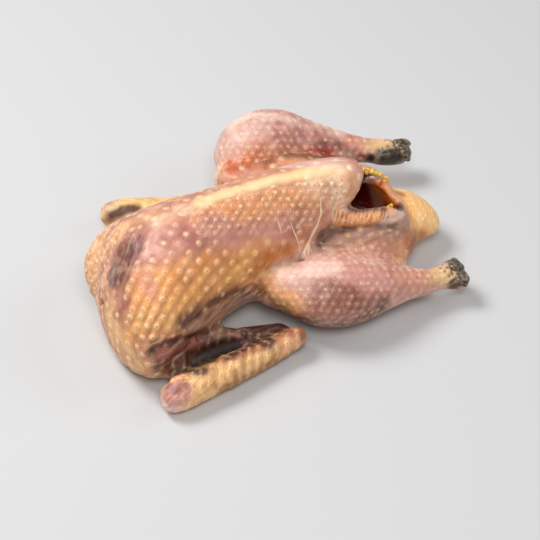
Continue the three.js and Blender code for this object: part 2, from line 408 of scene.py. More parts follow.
# The keel's cream, fading toward its left end, is partly its own colour and partly a painted highlight.
stroke(KEEL_END_HIGHLIGHT, 8, WARM_PEACH, 0.8)
stroke(KEEL_HIGHLIGHT_LINE, 7, CREAM_HIGHLIGHT, 0.85)
stroke(FAR_STRIP, 6, PALE_PINK, 0.8)
stroke(ORANGE_BELT, 17, ORANGE, 0.95)
stroke(YELLOW_BELT, 13, YELLOW, 0.8)
stroke(DEEP_BELT, 8, BURNT, 0.95)
stroke(BELT_EDGE, 4, OCHRE, 0.3)
stroke(FRONT_LOWER, 12, TAN, 0.85)
stroke(FRONT_SPOT, 6, MAUVE, 0.6)

# The front: a wide groove between the breast and the folded neck skin, purple-brown and streaky, with two
# blue-grey patches where the skin is thinnest.
GROOVE_TOP = ((140, 234), (131, 246), (122, 256))
GROOVE = ((127, 250), (122, 262), (119, 273))
GROOVE_LOW = ((121, 298), (119, 314), (124, 325))
GREY_PATCH = ((115, 266), (113, 275), (112, 282))
GREY_PATCH_TOP = ((134, 240), (130, 250))
FOLD_SHADE = ((110, 252), (104, 266), (99, 280), (100, 292))
FOLD_TIP = ((91, 297), (95, 300), (91, 290))
FOLD_TUCK_SHADE = ((94, 305), (100, 303), (106, 299))
stroke(GROOVE_TOP, 10, PLUM, 0.65)
stroke(GROOVE, 12, DUSK, 0.85)
stroke(GROOVE_LOW, 7, PLUM, 0.45)
stroke(FOLD_SHADE, 6, MAUVE, 0.6)
stroke(GREY_PATCH_TOP, 4, BLUE_GREY, 0.35)
stroke(GREY_PATCH, 4.5, BLUE_GREY, 0.7)
stroke(FOLD_TIP, 5, CLAY, 0.7)
# The dark line in the tuck of the neck's fold is painted shade, laid over a crease sunk in the skin.
streaks([FOLD_TUCK_SHADE], 3.0, UMBER, 0.8, 2.4)
streaks([FOLD_TIP], 5, PEACH, 0.5, -1.4)

# The waist and the pit behind the shoulder, where thin skin gathers: dark purple and brown folds with pale
# crests, over the dark hollow that lies between the breast and the wing. The darkness of that hollow below
# the pit is painted shade, and so are the dark lines in the creases at the waist, the pit, the arm's root and
# where the leg meets the belly.
WAIST = ((184, 321), (199, 311), (216, 301), (234, 292))
WAIST_SKIN = ((196, 323), (215, 315), (235, 303), (257, 291))
UNDER_WAIST = ((181, 331), (195, 325), (207, 318))
PIT_CREASE_SHADE = ((149, 359), (152, 350), (160, 344), (180, 341), (200, 336), (210, 330), (224, 321))
PIT_SKIN = ((162, 353), (182, 350), (200, 344))
ARM_ROOT_SHADE = ((210, 338), (219, 332), (228, 329), (237, 327))
PIT_LOW = ((160, 368), (172, 363), (190, 358))
PIT_BASE = ((172, 371), (184, 371), (195, 371), (202, 370))
KNEE_CREASE_SHADE = ((236, 296), (252, 287), (257, 279), (268, 271), (285, 263), (302, 258))
stroke(UNDER_WAIST, 8, UMBER, 0.6)
stroke(WAIST_SKIN, 8, GREY, 0.9)
stroke(WAIST, 6.5, SHADE, 0.9)
stroke(PIT_SKIN, 10, WINE, 0.85)
# Painted shade: the dark brown below the pit, where the hollow begins.
stroke(PIT_LOW, 7, BROWN, 0.85)
# The dark lines in the creases of the pit, the arm's root and the knee are painted shade, laid over creases
# sunk in the skin.
streaks([PIT_CREASE_SHADE], 4.0, BROWN, 0.95, 2.2)
streaks([ARM_ROOT_SHADE], 3.4, BROWN, 0.9, 1.2)
streaks([KNEE_CREASE_SHADE], 3.2, UMBER, 0.85, 1.6)

# Both legs: pale pink over the knee, plum where the meat shows through, orange at the hip, and ochre-brown
# below, darkened along the near leg's underside as painted shade. The paler pink along the near leg's top is
# partly a painted highlight.
NEAR_HIP = ((262, 284), (275, 296), (293, 306))
NEAR_UNDER_SHADE = ((283, 309), (310, 322), (335, 327), (358, 323), (380, 310))
NEAR_TOP_HIGHLIGHT = ((285, 271), (308, 270), (332, 268))
NEAR_SIDE = ((318, 304), (338, 314), (360, 314), (378, 302))
HIP_SHADE = ((262, 291), (271, 300), (284, 307))
NEAR_PURPLE = ((338, 272), (365, 282), (392, 284))
NEAR_RED = ((324, 287), (335, 295), (352, 300))
NEAR_LOW = ((290, 300), (305, 308), (325, 312))
NEAR_SHANK = ((402, 279), (415, 280), (430, 278))
FAR_TOP = ((262, 110), (285, 112), (305, 120))
FAR_SIDE = ((280, 133), (298, 140), (322, 140))
FAR_HIP = ((230, 166), (246, 163), (258, 153))
FAR_RED = ((308, 149), (322, 152), (336, 152))
FAR_UNDER = ((285, 155), (310, 157), (330, 157))
FAR_SHANK = ((352, 140), (362, 142), (372, 143))
FAR_FLANK = ((262, 158), (273, 150), (288, 148), (303, 151))
HIP_EDGE = ((236, 178), (249, 173), (262, 168))
FAR_CALF = ((325, 150), (340, 150), (352, 154))
FAR_SPOT = ((360, 155), (363, 156))
THIGH_SKIN = ((218, 168), (219, 178), (219, 186))
stroke(NEAR_PURPLE, 15, MAUVE, 0.9)
stroke(NEAR_RED, 11, MEAT, 0.8)
stroke(NEAR_LOW, 8, CLAY, 0.7)
stroke(NEAR_SIDE, 9, WINE, 0.7)
# Dark brown along the near leg's underside: painted shade.
stroke(NEAR_UNDER_SHADE, 11, SHADE, 0.95)
stroke(NEAR_HIP, 9, GOLD, 0.8)
stroke(HIP_SHADE, 6, OLIVE, 0.8)
# Pale pink along the near leg's top: partly its own colour and partly a painted highlight.
stroke(NEAR_TOP_HIGHLIGHT, 9, PALE_PINK, 0.75)
stroke(NEAR_SHANK, 8, CLAY, 0.8)
stroke(FAR_SIDE, 14, PLUM, 0.9)
stroke(FAR_TOP, 8, MAUVE, 0.8)
stroke(FAR_HIP, 10, DEEP_ORANGE, 0.9)
stroke(FAR_FLANK, 9, RUST, 0.85)
stroke(HIP_EDGE, 4, BURNT, 0.6)
stroke(FAR_CALF, 9, DUSK, 0.9)
stroke(FAR_UNDER, 5, UMBER, 0.7)
stroke(FAR_RED, 5, RED, 0.7)
stroke(FAR_SHANK, 8, CLAY, 0.85)
stroke(THIGH_SKIN, 6, WARM_PEACH, 0.8)

# The shanks' ends: straw-coloured scales with small pits, then thin dark wet skin, torn at the joint.
NEAR_SCALES = ((438, 274), (445, 273), (451, 275))
NEAR_DARK = ((449, 260), (456, 260), (461, 266), (462, 276), (461, 284), (454, 287))
NEAR_PATCH = ((436, 263), (446, 262))
NEAR_PITS = ((438, 262), (442, 265), (447, 268), (455, 279), (451, 282), (449, 276), (445, 271), (441, 268))
NEAR_VEINS = (((446, 260), (450, 266), (452, 275)), ((440, 262), (447, 261)), ((454, 280), (448, 284)))
NEAR_DOTS = ((417, 278), (427, 279), (432, 278), (432, 282), (437, 275), (422, 274))
FAR_STRIP_GREY = ((338, 155), (355, 157), (370, 157))
FAR_SCALES = ((374, 145), (385, 144), (394, 150))
FAR_CAP = ((390, 137), (398, 139), (404, 143), (409, 149), (408, 157))
FAR_DARK = ((374, 160), (384, 157), (396, 156), (405, 155))
FAR_DARK_LOW = ((380, 162.5), (392, 163.5), (403, 161.5))
FAR_PITS = ((393.5, 145.5), (386, 140), (400, 147), (404, 151), (379, 150), (383, 148), (388, 146),
            (391, 150))
FAR_VEINS = (((378, 154), (388, 151), (396, 149)), ((388, 139), (395, 143), (401, 147)))
stroke(NEAR_SCALES, 8, SCALES, 0.9)
stroke(NEAR_PATCH, 3, BLUE_GREY, 0.8)
stroke(NEAR_DARK, 4.5, BROWN, 0.95)
spots(NEAR_PITS, 0.9, BLACK_BROWN, 0.8, 0.6)
streaks(NEAR_VEINS, 1.7, BLACK_BROWN, 0.9, 0.5)
spots(NEAR_DOTS, 0.7, RED, 0.6)
stroke(FAR_STRIP_GREY, 4, GREY, 0.8)
stroke(FAR_SCALES, 7, SCALES, 0.9)
stroke(FAR_CAP, 5, BROWN, 0.95)
stroke(FAR_DARK, 7.5, BLACK_BROWN, 0.97)
stroke(FAR_DARK_LOW, 4, BLACK_BROWN, 0.9)
streaks(FAR_VEINS, 1.7, BLACK_BROWN, 0.85, 0.4)
stroke(FAR_SPOT, 2, RED, 0.9)
spots(FAR_PITS, 0.9, BLACK_BROWN, 0.8, 0.6)

# The belly behind the leg is thin grey skin with yellow bumps of fat, a wrinkled roll along the opening's
# edge, a pink corner at the rear and a yellow pad over the root of the tail. The shadow under the breast's
# edge, the dark line under the roll and part of the burnt orange on the tail's lower edge are painted shade.
BELLY = ((330, 236), (355, 234), (385, 232), (400, 226))
BELLY_LOW = ((350, 254), (375, 251), (395, 248))
BELLY_SHADOW = ((318, 246), (323, 236), (333, 229), (341, 227))
BELLY_BUMPS = ((349, 236), (361, 230), (372, 234), (381, 233), (360, 241), (371, 246), (390, 231), (364, 247),
               (352, 252), (391, 240), (397, 233), (403, 239), (384, 244), (340, 243), (345, 254), (378, 254))
REAR_CORNER = ((405, 242), (404, 252), (399, 261))
NEAR_ROLL = ((338, 219), (350, 221), (365, 219), (382, 214), (392, 213))
ROLL_REAR = ((384, 222), (392, 218), (402, 212))
ROLL_CREASE_SHADE = ((342, 229), (362, 228), (382, 226), (397, 226))
GREY_STRIP = ((349, 208), (365, 211), (383, 210))
TAIL_ROOT = ((404, 207), (407, 218), (404, 232))
TAIL_YELLOW = ((408, 206), (412, 214), (412, 226))
TAIL_LOW_ORANGE_AND_SHADE = ((409, 239), (420, 238))
NOTCH = ((397, 187), (400, 193))
stroke(BELLY, 12, GREY, 0.9)
stroke(BELLY_LOW, 9, CLAY, 0.6)
# Painted shadow under the breast's edge at the front of the belly.
stroke(BELLY_SHADOW, 5, SHADE, 0.9)
spots(BELLY_BUMPS, 1.3, STRAW, 0.45, -0.4)
stroke(REAR_CORNER, 7, PEACH, 0.85)
stroke(TAIL_ROOT, 5, GREY, 0.7)
stroke(TAIL_YELLOW, 5, YELLOW, 0.7)
# Burnt orange on the tail's lower edge: partly its own deeper orange and partly painted shade.
stroke(TAIL_LOW_ORANGE_AND_SHADE, 7, BURNT, 0.8)
stroke(NEAR_ROLL, 6, GOLD, 0.9)
stroke(ROLL_REAR, 4, PALE_PINK, 0.8)
# The dark line in the crease under the roll is painted shade, laid over a crease sunk in the skin.
streaks([ROLL_CREASE_SHADE], 2.8, BROWN, 0.8, 1.8)
stroke(GREY_STRIP, 3, BLUE_GREY, 0.8)
stroke(NOTCH, 5, DEEP_ORANGE, 0.85)

# Both wings: pale, scalloped skin on the forearm, thin brown and purple skin over the upper arm and between
# the bones, a wet hollow whose darkness is painted shade, and pink flesh where the wing was cut.
ELBOW = ((302, 337), (296, 343), (288, 344))
FOREARM_EDGE = ((222, 360), (240, 354), (262, 345), (276, 338), (290, 332), (299, 331))
ELBOW_TOP = ((282, 333), (290, 334), (299, 336))
ELBOW_TIP = ((303, 333), (298, 336))
FOREARM_LOW = ((292, 353), (260, 372), (225, 389))
FOREARM_TOP = ((228, 357), (236, 353), (244, 349), (252, 345), (260, 340.5), (268, 335.5),
               (276, 331), (284, 327))
WRIST = ((186, 391), (182, 400))
WING_CUT = ((171, 388), (168, 397), (170, 407))
CUT_DARK = ((170, 389), (178, 390), (184, 386))
CUT_PALE = ((163, 404), (168, 410), (177, 410))
ARM_SKIN = ((218, 333), (232, 331), (246, 331))
ARM_END = ((256, 328), (266, 326), (278, 325), (290, 328))
WEB_PATCH = ((247, 336), (258, 340), (268, 342))
WEB_RIM = ((232, 333), (242, 336), (247, 341), (243, 346))
WING_HOLLOW = ((196, 359), (210, 353), (226, 346), (242, 342))
HOLLOW_LOW = ((200, 366), (212, 361), (224, 354), (232, 350))
WING_VEIL = ((208, 337), (203, 347), (194, 359))
WET_SPECKS = ((204, 363), (208, 366), (206, 370), (212, 369), (201, 368))
FAR_WING_TOP = ((125, 204), (150, 201), (180, 199))
FAR_WING_HOLLOW = ((110, 217), (116, 214), (122, 212), (129, 210), (136, 208))
FAR_WING_LOW = ((103, 220), (116, 221))
FAR_WING_END = ((100, 209), (106, 204))
FAR_WING_LINES = (((122, 209), (145, 205), (172, 203)), ((128, 205), (150, 203), (170, 201)))
stroke(FOREARM_LOW, 7, OCHRE, 0.95)
stroke(FOREARM_EDGE, 5, RUST, 0.75)
# Painted shade: the dark brown at the foot of the pit, toward the near wing's hollow.
stroke(PIT_BASE, 5.5, BROWN, 0.95)
stroke(ELBOW, 8, PEACH, 0.8)
stroke(ELBOW_TOP, 5, RUST, 0.8)
stroke(WRIST, 6, ROSE, 0.8)
stroke(ARM_SKIN, 5, GREY, 0.6)
stroke(WEB_PATCH, 7, DARK_PURPLE, 0.95)
stroke(ARM_END, 5, DARK_PURPLE, 0.9)
# The near wing's hollow and its lower edge are painted near black as shade, over the hollow sunk in the skin.
stroke(WING_HOLLOW, 7, HOLLOW_SHADE, 0.97)
stroke(HOLLOW_LOW, 4.5, BLACK_BROWN, 0.9)
stroke(WING_VEIL, 3, SHADE, 0.7)
stroke(FOREARM_TOP, 3.4, BROWN, 0.95)
streaks([WEB_RIM], 1.6, MAUVE, 0.8, -0.6)
stroke(WING_CUT, 10, FLESH_PINK, 0.95)
stroke(CUT_DARK, 4, MEAT, 0.7)
stroke(CUT_PALE, 5, PALE_PINK, 0.9)
spots(WET_SPECKS, 0.9, UMBER, 0.6, -0.6)
stroke(FAR_WING_TOP, 6, YELLOW, 0.35)
stroke(FAR_WING_END, 9, ROSE, 0.85)
stroke(FAR_WING_LOW, 4, RED, 0.5)
# The far wing's hollow is painted dark brown as shade.
stroke(FAR_WING_HOLLOW, 5.5, BROWN, 0.97)
streaks(FAR_WING_LINES, 1.8, OCHRE, 0.3, 0.4)

# The body cavity is deep red, with a glossy orange wall at its rear and a thin grey inner lip.
CAVITY_WALL = ((379, 184), (386, 189), (392, 198))
WALL_DARK = ((374, 186), (377, 196), (379, 205))
WALL_PINK_HIGHLIGHT = ((386, 180), (392, 190), (397, 199))
FAR_LIP = ((360, 184), (368, 180.5), (378, 177), (386, 177))
cover(cavity, DEEP_RED)
stroke(WALL_DARK, 5, UMBER, 0.6)
stroke(CAVITY_WALL, 6, DEEP_ORANGE, 0.8)
# Peach on the right of the wall: partly its own pink and partly a painted highlight.
stroke(WALL_PINK_HIGHLIGHT, 3.5, PEACH, 0.5)
stroke(FAR_LIP, 3, CLAY, 0.9)
streaks([CAVITY_WALL], 3, ORANGE, 0.3, -1.5)

# Loose skin gathers in fine wrinkles. Each row has a place, the direction across its wrinkles in the photo,
# about how many pixels a ridge takes, and a strength. The strength falls to 0 where two places meet, in the
# hollows of both wings and in the cavity.
x_seen, y_seen, scale_seen = seen_at(places)
THIGH_FOLDS = ((219, 166), (219, 178), (219, 188))
FAR_HIP_FOLDS = ((258, 152), (264, 160), (272, 158))
WRIST_FOLDS = ((168, 400), (184, 392), (200, 384))
wrinkled = ((near_marks(GROOVE, 17), (1, 0.5), 5.0, 0.8),
            (near_marks(PIT_SKIN, 15), (0.3, 1), 5.0, 0.9),
            (near_marks(WAIST_SKIN, 11), (0.55, 0.84), 4.2, 0.9),
            (near_marks(NEAR_ROLL, 9), (1, 0.45), 3.4, 0.85),
            (near_marks(BELLY, 14), (0.1, 1), 5.0, 0.3),
            (near_marks(DEEP_BELT, 9), (1, 0.6), 4.0, 0.25),
            (near_marks(THIGH_FOLDS, 6), (1, 0), 3.0, 0.7),
            (near_marks(FAR_HIP_FOLDS, 6), (1, -0.3), 4.0, 0.5),
            (near_marks(WRIST_FOLDS, 12), (0.7, 1), 4.0, 0.4),
            (0.8 * fold, (1, 0.7), 6.0, 0.5),
            (far_forearm, (0.15, 1), 4.2, 0.4),
            (0.8 * near_arm, (0.08, 1), 4.0, 0.45),
            (tail, (0.9, -0.45), 4.0, 0.12))
shares = np.stack([row[0] for row in wrinkled])
most = shares.argmax(0)
ranked = np.sort(shares, axis=0)
waves = np.choose(most, [(right * x_seen + down * y_seen) / apart for _, (right, down), apart, _ in wrinkled])
wrinkle = np.choose(most, [row[3] for row in wrinkled]) * step(ranked[-1] - ranked[-2], 0, 0.35)
for marks in (WING_HOLLOW, FAR_WING_HOLLOW):
    wrinkle *= 1 - np.clip(1.3 * near_marks(marks, 12), 0, 1)
wrinkle *= 1 - cavity

# Feather follicles stand in rows called tracts. Each tract is a grid of columns and rows in the plane that
# the skin faces: the photograph's for the side it shows, and six others for the sides that it doesn't.
FAN_X = 61.0
FAN_Y = 290.0
BREAST_FAN = 0.0056
BREAST_SPACING = 13.2
WING_SPACING = 9.4
JITTER = 0.28
HIDDEN_PLANES = ((-0.26, 0.66, 0.70), (-1, 0, 0.1), (1, 0, 0.2), (0, 0, -1), (0, -1, -0.5), (0, 1, -0.5))
MM_PER_PIXEL = 0.617
PHOTO_FAVOUR = 0.15
LEAST_FACING = 0.35


def nearest_follicle(x, y, spacing, row, fan, stagger, seed):
    """The offset in pixels to the nearest follicle of a grid, and two random numbers that belong to it.
    Columns stand the given spacing apart at FAN_Y, and draw together below it by exp(fan (y - FAN_Y)).
    Every other row is shifted by the stagger, a share of the spacing."""
    spread = np.exp(fan * (y - FAN_Y))
    column = (x - FAN_X) * spread / spacing
    line = (y - FAN_Y) / row
    best = np.full(len(x), np.inf)
    found = np.zeros((len(x), 4))
    for side in (-1, 0, 1):
        for level in (-1, 0, 1):
            cell = np.stack((np.round(column) + side, np.round(line) + level, np.full(len(x), seed)), 1)
            first, second, third = (hashed(cell, k) for k in (1, 2, 3))
            down = (line - cell[:, 1] - JITTER * (first - 0.5)) * row
            across = column - cell[:, 0] - JITTER * (second - 0.5) - stagger * (cell[:, 1] % 2)
            across = across * spacing / spread - fan * (x - FAN_X) * down
            nearer = across ** 2 + down ** 2 < best
            best = np.where(nearer, across ** 2 + down ** 2, best)
            found[nearer] = np.stack((across, down, third, hashed(cell, 4)), 1)[nearer]
    return found


def view_planes():
    """The planes that follicles are laid out in: the way each faces, its right and its up, every corner's
    place in it in pixels, and the size of a pixel. The first is the photograph's."""
    planes = [(-FORWARD, RIGHT, UPWARD, x_seen, y_seen, scale_seen)]
    for plane in np.array(HIDDEN_PLANES):
        facing = plane / np.linalg.norm(plane)
        side = np.cross((0.1, 0.2, 1), facing)
        side /= np.linalg.norm(side)
        top = np.cross(facing, side)
        planes.append((facing, side, top, PHOTO / 2 + places @ side / MM_PER_PIXEL,
                       PHOTO / 2 - places @ top / MM_PER_PIXEL, np.full(len(places), MM_PER_PIXEL)))
    return planes


planes = view_planes()
turned = np.stack([normals @ plane[0] for plane in planes])
turned[0] += PHOTO_FAVOUR
chosen = turned.argmax(0)


def follicles(mine, spacing, row, fan, stagger, seed):
    """The offset in millimetres of the chosen corners from their nearest follicle, and its random numbers.
    An offset d in the plane is leaned onto the skin by d - f (d . n) / (f . n), with f the way it faces."""
    offset = np.zeros((len(places), 3))
    chance = np.zeros((len(places), 2))
    for k, (facing, side, top, px, py, size) in enumerate(planes):
        here = mine & (chosen == k)
        found = nearest_follicle(px[here], py[here], spacing, row, fan, stagger, seed + 10 * k)
        flat = (found[:, :1] * side - found[:, 1:2] * top) * size[here, None]
        lean = np.maximum(normals[here] @ facing, LEAST_FACING)
        offset[here] = flat - facing * ((flat * normals[here]).sum(1) / lean)[:, None]
        chance[here] = found[:, 2:]
    return offset[mine], chance[mine]


# Each tract has its place, the spacing of its columns and rows in pixels, how they fan out and stagger, how
# high its mounds are, how many of its follicles show a dark pore, and a mound's reach in millimetres.
UPPER_TRACT = ((205, 222), (250, 208), (295, 200), (335, 192), (325, 205), (290, 215), (255, 222))
SMOOTH_PATCH = ((232, 240), (255, 240), (275, 235))
RIDGED = ((118, 300), (140, 305), (165, 300), (190, 290), (215, 280), (150, 325))
upper = near_marks(UPPER_TRACT, 13)
belly = near_marks(BELLY, 22) * (1 - near_leg)
wings = np.maximum.reduce((near_forearm, far_forearm, near_arm, far_arm))
tracts = ((np.full(len(places), 0.25), BREAST_SPACING, 9.4, BREAST_FAN, 0.0, 1.0, 0.9, 2.5),
          (upper, 8.6, 7.0, 0.0, 0.5, 1.0, 1.0, 2.1),
          (np.maximum(near_leg, far_leg), 8.0, 6.8, 0.0, 0.5, 0.55, 0.3, 2.2),
          (belly, 11.0, 9.0, 0.0, 0.5, 0.3, 0.2, 1.8),
          (wings, WING_SPACING, 4.8, 0.0, 0.0, 0.6, 1.0, 1.9),
          (fold, 7.5, 6.4, 0.0, 0.5, 0.8, 0.5, 1.9),
          (tail, 6.0, 5.4, 0.0, 0.5, 0.35, 0.3, 1.5))
owner = np.stack([tract[0] for tract in tracts]).argmax(0)
offset = np.zeros((len(places), 3))
mound = np.zeros(len(places))
pore = np.zeros(len(places))
for k, (_, spacing, row, fan, stagger, raised, dark, reach) in enumerate(tracts):
    mine = owner == k
    offset[mine], chance = follicles(mine, spacing, row, fan, stagger, 3 * k)
    offset[mine] /= reach
    mound[mine] = raised * (0.3 + 0.7 * chance[:, 0])
    pore[mine] = dark * step(chance[:, 1], 0.1, 0.5)
distance = np.linalg.norm(offset, axis=1)


def most_near(lines):
    """The cavity's share, or more where a line of marks is near. Each line has its half width and weight."""
    return np.maximum.reduce([cavity] + [weight * near_marks(marks, width) for marks, width, weight in lines])


quiet = most_near(((KEEL_HIGHLIGHT_LINE, 7, 1), (PIT_SKIN, 12, 1), (WAIST_SKIN, 11, 1), (ARM_END, 8, 1),
                   (WING_HOLLOW, 9, 1), (FAR_DARK, 9, 1), (DEEP_BELT, 9, 1), (HOLLOW_LOW, 7, 1),
                   (FAR_WING_HOLLOW, 9, 1), (NEAR_ROLL, 8, 1), (FAR_CAP, 9, 1), (NEAR_DARK, 8, 1),
                   (WING_CUT, 9, 1), (GREY_PATCH, 6, 1), (SMOOTH_PATCH, 14, 0.7), (GROOVE, 14, 0.8)))
mound *= 1 - quiet
pore *= 1 - quiet

# A mound is up to 0.45 mm high and falls off over its reach, of which the distance is a share.
height += 0.45 * mound * np.exp(-(distance / 0.7) ** 2)

# Between the columns of mounds on the lower breast run furrows, and the forearm is scalloped across. Both
# sink the skin, and the umber laid into them is painted shade.
seen = chosen == 0
column = (x_seen - FAN_X) * np.exp(BREAST_FAN * (y_seen - FAN_Y)) / BREAST_SPACING
furrow = step(-np.cos(2 * np.pi * column), 0.0, 1.0) * seen * (0.4 + 0.9 * noise(places, 9, 13))
furrow *= near_marks(RIDGED, 26)
scallop = step(-np.cos(2 * np.pi * (x_seen - FAN_X) / WING_SPACING), -0.2, 1.0)
scallop *= near_forearm * step(x_seen, 200, 235) * (0.5 + 0.8 * noise(places, 6, 14))
# Painted shade in the furrows and between the scallops.
cover(0.22 * furrow, UMBER)
cover(0.18 * scallop, UMBER)
height -= 0.7 * furrow + 0.3 * scallop

# Some places stand out or sink in by a few millimetres: the elbow, the tip of the breast and the roll rise,
# and the near wing's hollow and the pit sink where they face up. The pit and the cut end of the wing are
# rough, and all but the cavity is finely uneven.
upward = step(normals[:, 2], 0.0, 0.4)
for marks, width, rise, share in ((PIT_SKIN, 12, 1.6, noise(places, 5, 16) - 0.5),
                                  (ELBOW_TIP, 10, 3.0, 1), (TIP_EDGE, 10, 2.4, 1),
                                  (NEAR_ROLL, 7, 1.8, 1 - cavity),
                                  (WING_HOLLOW, 9, -4.0, upward), (PIT_SKIN, 11, -2.0, upward),
                                  (WING_CUT, 12, 1.6, noise(places, 4, 15) - 0.5)):
    height += rise * share * near_marks(marks, width)
height += 0.35 * (1 - cavity) * (noise(places, 2.8, 9) - 0.5)

# The height moves every corner along its normal, but none to below the floor.
moved = places + height[:, None] * normals
moved[:, 2] = np.maximum(moved[:, 2], 0)
skin.data.vertices.foreach_set("co", (moved * MM).ravel())
skin.data.update()
bpy.context.view_layer.update()
surface = BVHTree.FromObject(skin, bpy.context.evaluated_depsgraph_get())


def keep(name, kind, word, values):
    """Stores a value for every corner of the skin, for its shader to read by name."""
    attribute = skin.data.attributes.new(name, kind, "POINT")
    attribute.data.foreach_set(word, np.ascontiguousarray(values, np.float32).ravel())


wet = most_near(((FAR_DARK, 10, 1), (NEAR_DARK, 7, 1), (FAR_CAP, 8, 1), (CAVITY_WALL, 8, 1),
                 (WING_CUT, 8, 1), (PIT_SKIN, 9, 1), (NEAR_ROLL, 6, 1)))
keep("tone", "FLOAT_COLOR", "color", np.hstack((tone, np.ones((len(tone), 1)))))
keep("offset", "FLOAT_VECTOR", "vector", offset)
for name, values in (("distance", distance), ("mound", mound), ("pore", pore), ("waves", waves),
                     ("wrinkle", wrinkle), ("wet", wet)):
    keep(name, "FLOAT", "value", values)

# The skin's material: the tone with fine mottling, a paler mound and a small dark pore for each follicle,
# wrinkles, a fine bump like crazed leather, light that scatters under it and a moist film over it. A painted
# shade darkens the skin between the mounds and in the dips of the wrinkles, and a painted highlight lightens
# the wrinkles' crests. Scales are features to a metre, and heights are millimetres.
PORE_COLOUR = (*light_of((176, 80, 20)), 1)
MOUND_AND_HIGHLIGHT_COLOUR = (*light_of((255, 226, 178)), 1)
PAINTED_SHADE_COLOUR = (*light_of((150, 86, 62)), 1)
FINE_SCALE = 900
BLOTCH_SCALE = 220
LENGTHWAYS_SCALE = 110
RIDGE_SCALE = 1.2
FINE_HEIGHT = 0.35
MOUND_HEIGHT = 0.85
CRAZED_HEIGHT = 0.05
WRINKLE_HEIGHT = 0.45
CORNER_SLACK = 0.3


def node(tree, kind, inputs=(), **settings):
    """A new shader node of that kind in a node tree, with its settings and its input values or links."""
    made = tree.nodes.new("ShaderNode" + kind)
    for name, value in settings.items():
        setattr(made, name, value)
    for name, value in dict(inputs).items():
        if isinstance(value, bpy.types.NodeSocket):
            tree.links.new(value, made.inputs[name])
        else:
            made.inputs[name].default_value = value
    return made


def stored(tree, name, socket="Fac"):
    """The output of the node that reads a stored value."""
    return node(tree, "Attribute", attribute_name=name).outputs[socket]


def sums(tree, operation, first, second, third=0.0):
    """The result of one sum on two or three values."""
    return node(tree, "Math", {0: first, 1: second, 2: third}, operation=operation).outputs[0]


def ramp(tree, value, low, high, bottom=0.0, top=1.0):
    """A smooth change from bottom to top while the value goes from low to high."""
    return node(tree, "MapRange", {"Value": value, "From Min": low, "From Max": high, "To Min": bottom,
                                   "To Max": top}, interpolation_type="SMOOTHSTEP").outputs[0]


def mixed(tree, share, first, second, blend="MIX"):
    """A colour mixed from two by a share, or blended in another way."""
    made = node(tree, "Mix", {0: share, 6: first, 7: second}, data_type="RGBA", blend_type=blend)
    return made.outputs[2]


def grain(tree, place, scale, detail):
    """Smooth noise from 0 to 1 with that many features to a metre."""
    return node(tree, "TexNoise", {"Vector": place, "Scale": scale, "Detail": detail}).outputs["Fac"]


skin_material, shader = shaded("skin", {
    "Specular IOR Level": 0.4, "Subsurface Weight": 0.15, "Subsurface Radius": (1.0, 0.35, 0.2),
    "Subsurface Scale": 2 * MM, "Coat Weight": 0.2, "Coat Roughness": 0.2})
tree = skin_material.node_tree
inside = node(tree, "TexCoord").outputs["Object"]
fine = grain(tree, inside, FINE_SCALE, 4)
blotch = grain(tree, inside, BLOTCH_SCALE, 6)
crazed = node(tree, "TexVoronoi", {"Vector": inside, "Scale": FINE_SCALE},
              feature="DISTANCE_TO_EDGE").outputs[0]

# Over a face the offset runs from one corner's to the next. Where two corners have different follicles it
# comes out too short, and the distance less some slack is taken.
length = node(tree, "VectorMath", {0: stored(tree, "offset", "Vector")}, operation="LENGTH").outputs["Value"]
away = sums(tree, "MAXIMUM", length, sums(tree, "SUBTRACT", stored(tree, "distance"), CORNER_SLACK))
raised = stored(tree, "mound")
rise = sums(tree, "MULTIPLY", raised, ramp(tree, away, 0.15, 0.95, 1.0, 0.0))
# The ring just outside each mound is darkened: partly the skin's redder ground and partly painted shade.
ring = sums(tree, "MULTIPLY", raised, ramp(tree, away, 0.6, 1.2, 0.0, 0.5))
hole = sums(tree, "MULTIPLY", stored(tree, "pore"), ramp(tree, away, 0.12, 0.3, 1.0, 0.0))

# A wrinkle's ridges come from noise that changes fast with the waves, across it, and slowly along it. Its
# dips are darkened as painted shade and its crests lightened as a painted highlight.
across = node(tree, "CombineXYZ", {"X": stored(tree, "waves")}).outputs[0]
along = node(tree, "VectorMath", {0: inside, 1: (LENGTHWAYS_SCALE,) * 3, 2: across},
             operation="MULTIPLY_ADD").outputs[0]
crest = ramp(tree, grain(tree, along, RIDGE_SCALE, 2), 0.34, 0.66)
folded = sums(tree, "MULTIPLY", stored(tree, "wrinkle"), ramp(tree, blotch, 0.35, 0.6, 0.3, 1.0))
# Painted shade in the dips of a wrinkle, and a painted highlight on its crests.
dip_shade = sums(tree, "MULTIPLY", folded, ramp(tree, crest, 0.0, 0.6, 0.8, 0.0))
crest_highlight = sums(tree, "MULTIPLY", folded, ramp(tree, crest, 0.5, 1.0, 0.0, 0.2))

colour = mixed(tree, 0.5, stored(tree, "tone", "Color"), blotch, "SOFT_LIGHT")
for share, over, blend in ((0.35, fine, "SOFT_LIGHT"), (dip_shade, PAINTED_SHADE_COLOUR, "MULTIPLY"),
                           (crest_highlight, MOUND_AND_HIGHLIGHT_COLOUR, "MIX"), (ring, PAINTED_SHADE_COLOUR, "MULTIPLY"),
                           (sums(tree, "MULTIPLY", rise, 0.7), MOUND_AND_HIGHLIGHT_COLOUR, "MIX"),
                           (sums(tree, "MULTIPLY", hole, 0.7), PORE_COLOUR, "MIX")):
    colour = mixed(tree, share, colour, over, blend)
relief = 0.0
for shape, millimetres in ((fine, FINE_HEIGHT), (rise, MOUND_HEIGHT),
                           (ramp(tree, crazed, 0.0, 0.2), CRAZED_HEIGHT),
                           (sums(tree, "MULTIPLY", folded, crest), WRINKLE_HEIGHT)):
    relief = sums(tree, "MULTIPLY_ADD", shape, millimetres, relief)
